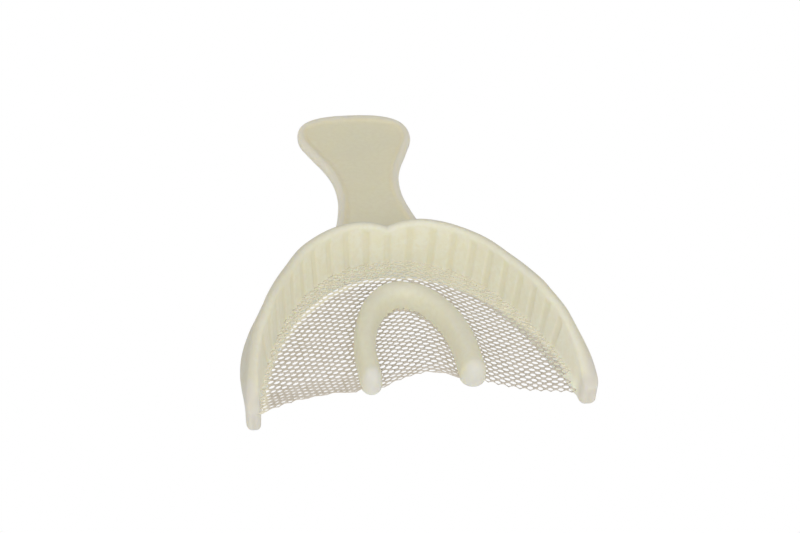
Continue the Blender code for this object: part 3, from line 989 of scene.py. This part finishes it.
class Nodes:
    """A few lines to wire one material."""

    def __init__(self, name):
        self.material = bpy.data.materials.new(name)
        self.material.use_nodes = True
        self.tree = self.material.node_tree
        self.shader = self.tree.nodes["Principled BSDF"]
        self.place = self.tree.nodes.new("ShaderNodeTexCoord").outputs["Object"]

    def noise(self, scale, detail=3.0, roughness=0.55):
        node = self.tree.nodes.new("ShaderNodeTexNoise")
        node.inputs["Scale"].default_value = scale
        node.inputs["Detail"].default_value = detail
        node.inputs["Roughness"].default_value = roughness
        self.tree.links.new(self.place, node.inputs["Vector"])
        return node.outputs["Fac"]

    def spread(self, value, low, high, to_low=0.0, to_high=1.0):
        node = self.tree.nodes.new("ShaderNodeMapRange")
        node.interpolation_type = "SMOOTHSTEP"
        node.inputs["From Min"].default_value = low
        node.inputs["From Max"].default_value = high
        node.inputs["To Min"].default_value = to_low
        node.inputs["To Max"].default_value = to_high
        self.tree.links.new(value, node.inputs["Value"])
        return node.outputs["Result"]

    def multiply(self, a, b):
        node = self.tree.nodes.new("ShaderNodeMath")
        node.operation = "MULTIPLY"
        self.tree.links.new(a, node.inputs[0])
        if isinstance(b, float):
            node.inputs[1].default_value = b
        else:
            self.tree.links.new(b, node.inputs[1])
        return node.outputs[0]

    def mix(self, factor, first, second, blend="MIX"):
        node = self.tree.nodes.new("ShaderNodeMix")
        node.data_type = "RGBA"
        node.blend_type = blend
        self.tree.links.new(factor, node.inputs["Factor"])
        for socket, colour in (("A", first), ("B", second)):
            place = [s for s in node.inputs if s.name == socket and s.type == "RGBA"][0]
            if isinstance(colour, tuple):
                place.default_value = (*colour, 1.0)
            else:
                self.tree.links.new(colour, place)
        return [s for s in node.outputs if s.type == "RGBA"][0]

    def height(self):
        node = self.tree.nodes.new("ShaderNodeSeparateXYZ")
        self.tree.links.new(self.place, node.inputs[0])
        return node.outputs["Z"]

    def attribute(self, name):
        node = self.tree.nodes.new("ShaderNodeAttribute")
        node.attribute_name = name
        return node.outputs["Fac"]

    def bump(self, layers):
        """Bump nodes in a chain: (height, distance in metres, strength)."""
        last = None
        for height, distance, strength in layers:
            node = self.tree.nodes.new("ShaderNodeBump")
            node.inputs["Distance"].default_value = distance
            node.inputs["Strength"].default_value = strength
            self.tree.links.new(height, node.inputs["Height"])
            if last is not None:
                self.tree.links.new(last, node.inputs["Normal"])
            last = node.outputs["Normal"]
        self.tree.links.new(last, self.shader.inputs["Normal"])

    def link(self, value, socket):
        self.tree.links.new(value, self.shader.inputs[socket])

    def set(self, **values):
        for name, value in values.items():
            self.shader.inputs[name.replace("_", " ")].default_value = value


# Shades multiply a colour. The others are colours of their own.
# Painted shade that darkens the wall's top and outer side.
OUTSIDE_PAINTED_SHADE = (0.775, 0.765, 0.76)
# Painted shade that darkens and warms the grooves.
GROOVE_PAINTED_SHADE = (0.97, 0.955, 0.88)
# Painted light that lifts the wall below the net, up to a cap.
SKIRT_PAINTED_LIGHT = 1.08
MOST_ALBEDO = 0.9
TAN = (0.665, 0.61, 0.535)
DARK_TAN = (0.57, 0.51, 0.42)
FLECK = (0.72, 0.68, 0.60)
MOULDED_CREAM = (0.87, 0.815, 0.65)
FLOOR_GREY = (0.90, 0.90, 0.89)
FLOOR_PALE = (0.92, 0.92, 0.91)


def plastic(name, main, warm, pale, with_grooves=False):
    """Cream plastic, mottled, with a greyer painted highlight on rims and rounded tips. The tray's wall
    has painted shade in its grooves (darker, warmer), painted light below the net and painted shade on top
    and outside.
    """
    nodes = Nodes(name)
    mottle = nodes.spread(nodes.noise(900.0, 5.0), 0.38, 0.64)
    colour = nodes.mix(mottle, main, warm)
    clouds = nodes.spread(nodes.noise(170.0, 2.0), 0.42, 0.66, 0.0, 0.5)
    colour = nodes.mix(clouds, colour, warm)
    if with_grooves:
        deep = tuple(c * k for c, k in zip(warm, GROOVE_PAINTED_SHADE))
        # Painted light: below the net the wall is lightened.
        low = nodes.spread(nodes.height(), ORIGIN.z + MM, ORIGIN.z - MM, 0.0, 0.8)
        colour = nodes.mix(low, colour, tuple(min(c * SKIRT_PAINTED_LIGHT, MOST_ALBEDO) for c in main))
        # Painted shade in the grooves: the darker, warmer colour is mixed in by groove depth.
        sunk = nodes.multiply(nodes.attribute("groove"), 0.4)
        colour = nodes.mix(sunk, colour, deep)
    # Painted highlight: the pale values mix in a greyer, washed-out colour, with a ragged edge.
    ragged = nodes.spread(nodes.noise(330.0, 4.0), 0.30, 0.70, 0.80, 1.15)
    light = nodes.spread(nodes.multiply(nodes.attribute("pale"), ragged), 0.12, 0.95, 0.0, 0.92)
    colour = nodes.mix(light, colour, pale)
    if with_grooves:
        # Painted shade: the wall's top and outer side are darkened.
        colour = nodes.mix(nodes.attribute("painted_shade"), colour, OUTSIDE_PAINTED_SHADE, "MULTIPLY")
    nodes.link(colour, "Base Color")
    nodes.link(nodes.spread(nodes.noise(420.0, 3.0), 0.3, 0.7, 0.40, 0.54), "Roughness")
    nodes.bump((
        (nodes.noise(140.0, 2.0), 0.0003, 0.20),
        (nodes.noise(2600.0, 3.0), 0.00004, 0.5),
    ))
    nodes.set(
        Subsurface_Weight=0.75,
        Subsurface_Scale=0.0040,
        Subsurface_Radius=(1.0, 0.85, 0.5),
        Specular_IOR_Level=0.4,
        IOR=1.49,
    )
    return nodes.material


def net_fabric():
    """Tan filament with pale flecks, cream where it is moulded in."""
    nodes = Nodes("net_fibre")
    shade = nodes.spread(nodes.noise(700.0, 4.0), 0.35, 0.68)
    colour = nodes.mix(shade, TAN, DARK_TAN)
    fleck = nodes.spread(nodes.noise(3800.0, 3.0), 0.5, 0.72, 0.0, 0.5)
    colour = nodes.mix(fleck, colour, FLECK)
    colour = nodes.mix(nodes.spread(nodes.attribute("tint"), 0.0, 1.0), colour, MOULDED_CREAM)
    nodes.link(colour, "Base Color")
    nodes.link(nodes.spread(nodes.noise(1500.0, 2.0), 0.3, 0.7, 0.72, 0.92), "Roughness")
    nodes.bump((
        (nodes.noise(5200.0, 3.0, 0.7), 0.00006, 0.7),
        (nodes.noise(1400.0, 2.0), 0.00008, 0.4),
    ))
    nodes.set(Sheen_Weight=0.15, Sheen_Roughness=0.5, Specular_IOR_Level=0.3)
    return nodes.material


def floor_material():
    """A pale sweep that the camera sees evenly lit from within, as on a light table."""
    nodes = Nodes("studio_floor")
    shade = nodes.spread(nodes.noise(9.0, 2.0), 0.35, 0.65)
    colour = nodes.mix(shade, FLOOR_GREY, FLOOR_PALE)
    nodes.link(colour, "Base Color")
    nodes.set(Roughness=0.9)
    glow = nodes.tree.nodes.new("ShaderNodeEmission")
    ray = nodes.tree.nodes.new("ShaderNodeLightPath")
    mix = nodes.tree.nodes.new("ShaderNodeMixShader")
    nodes.tree.links.new(ray.outputs["Is Camera Ray"], mix.inputs[0])
    nodes.tree.links.new(nodes.shader.outputs[0], mix.inputs[1])
    nodes.tree.links.new(glow.outputs[0], mix.inputs[2])
    nodes.tree.links.new(mix.outputs[0], nodes.tree.nodes["Material Output"].inputs["Surface"])
    return nodes.material


# ---------------------------------------------------------------- the tray

# Each pale colour below is the greyer colour of a painted highlight.
TRAY = plastic(
    "tray_plastic",
    main=(0.785, 0.775, 0.655),
    warm=(0.765, 0.74, 0.595),
    pale=(0.775, 0.755, 0.69),
    with_grooves=True,
)
HANDLE = plastic(
    "handle_plastic",
    main=(0.755, 0.71, 0.54),
    warm=(0.735, 0.685, 0.515),
    pale=(0.69, 0.66, 0.57),
)
BAR = plastic(
    "bar_plastic",
    main=(0.735, 0.72, 0.58),
    warm=(0.715, 0.69, 0.54),
    pale=(0.645, 0.64, 0.60),
)
FIBRE = net_fabric()

wall = make_wall()
wall.data.materials.append(TRAY)
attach(wall, "frame")
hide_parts("upper_wall", "lower_wall")

handle = make_handle()
handle.data.materials.append(HANDLE)
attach(handle, "frame")
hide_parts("handle")

bar = make_bar()
bar.data.materials.append(BAR)
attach(bar, "lingual_bar")
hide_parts("lingual_bar_upper", "lingual_bar_lower")


# The net throws no shadow and no bounced light, which would dull the plastic beside it.
net = make_net()
for name, (piece, area) in net.items():
    piece.data.materials.append(FIBRE)
    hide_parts("net")
    piece.visible_shadow = False
    piece.visible_diffuse = False
    if name == "net_middle":
        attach(piece, "lingual_bar")
    elif name == "net_front":
        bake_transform(piece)
    else:
        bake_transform(piece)

# ---------------------------------------------------------------- floor, light and camera

FLOOR_HALF_SIZE = 3.0

floor_build = bmesh.new()
bmesh.ops.create_grid(floor_build, x_segments=2, y_segments=2, size=FLOOR_HALF_SIZE)
floor = mesh_object("studio_floor", floor_build)
floor.data.materials.append(floor_material())

# The dome is brighter on one side, between two levels.
DOME_COLOUR = (1.0, 0.997, 0.99, 1.0)
BRIGHT_SIDE = (-0.26, -0.90, 0.35)
DIM, BRIGHT = 0.40, 1.0
DIM_FACING, BRIGHT_FACING = -0.5, 0.7

world = bpy.data.worlds.new("studio_world")
bpy.context.scene.world = world
world.use_nodes = True
background = world.node_tree.nodes["Background"]
background.inputs["Color"].default_value = DOME_COLOUR
direction = world.node_tree.nodes.new("ShaderNodeTexCoord").outputs["Generated"]
facing = world.node_tree.nodes.new("ShaderNodeVectorMath")
facing.operation = "DOT_PRODUCT"
facing.inputs[1].default_value = Vector(BRIGHT_SIDE).normalized()
world.node_tree.links.new(direction, facing.inputs[0])
dome = world.node_tree.nodes.new("ShaderNodeMapRange")
dome.inputs["From Min"].default_value = DIM_FACING
dome.inputs["From Max"].default_value = BRIGHT_FACING
dome.inputs["To Min"].default_value = DIM
dome.inputs["To Max"].default_value = BRIGHT
world.node_tree.links.new(facing.outputs["Value"], dome.inputs["Value"])
world.node_tree.links.new(dome.outputs["Result"], background.inputs["Strength"])

# Where the camera and the lamps look.
TARGET = Vector((0.0040, -0.00266, 0.0))


def area_light(name, direction, distance, size, power):
    """A round lamp that looks at the tray from a direction."""
    light = bpy.data.lights.new(name, "AREA")
    light.shape = "DISK"
    light.size = size
    light.energy = power
    obj = bpy.data.objects.new(name, light)
    bpy.context.scene.collection.objects.link(obj)
    place = TARGET + Vector(direction).normalized() * distance
    obj.location = place
    obj.rotation_euler = (TARGET - place).to_track_quat("-Z", "Y").to_euler()


area_light("key", (-0.30, -0.70, 0.7), 0.8, 0.55, 0.35)
area_light("front", (0.10, -1.0, 0.40), 0.9, 0.6, 0.9)

CAMERA_AZIMUTH = math.radians(-12.02)
CAMERA_ELEVATION = math.radians(36.60)
CAMERA_ROLL = math.radians(4.12)
CAMERA_DISTANCE = 0.362
LENS = 70.0
SENSOR_WIDTH = 36.0
CLIP_START = 0.01
CLIP_END = 10.0


def make_camera():
    """A long lens in front of the open end, rolled a little."""
    a, e, r = CAMERA_AZIMUTH, CAMERA_ELEVATION, CAMERA_ROLL
    back = Vector((math.sin(a) * math.cos(e), -math.cos(a) * math.cos(e), math.sin(e)))
    right = Vector((math.cos(a), math.sin(a), 0.0))
    up = back.cross(right)
    across = math.cos(r) * right + math.sin(r) * up
    above = -math.sin(r) * right + math.cos(r) * up
    data = bpy.data.cameras.new("camera")
    data.lens = LENS
    data.sensor_width = SENSOR_WIDTH
    data.clip_start = CLIP_START
    data.clip_end = CLIP_END
    camera = bpy.data.objects.new("camera", data)
    bpy.context.scene.collection.objects.link(camera)
    matrix = Matrix((across, above, back)).transposed().to_4x4()
    matrix.translation = TARGET + back * CAMERA_DISTANCE
    camera.matrix_world = matrix
    bpy.context.scene.camera = camera


make_camera()
bpy.context.scene.view_settings.view_transform = "Standard"
bpy.context.scene.view_settings.look = "None"
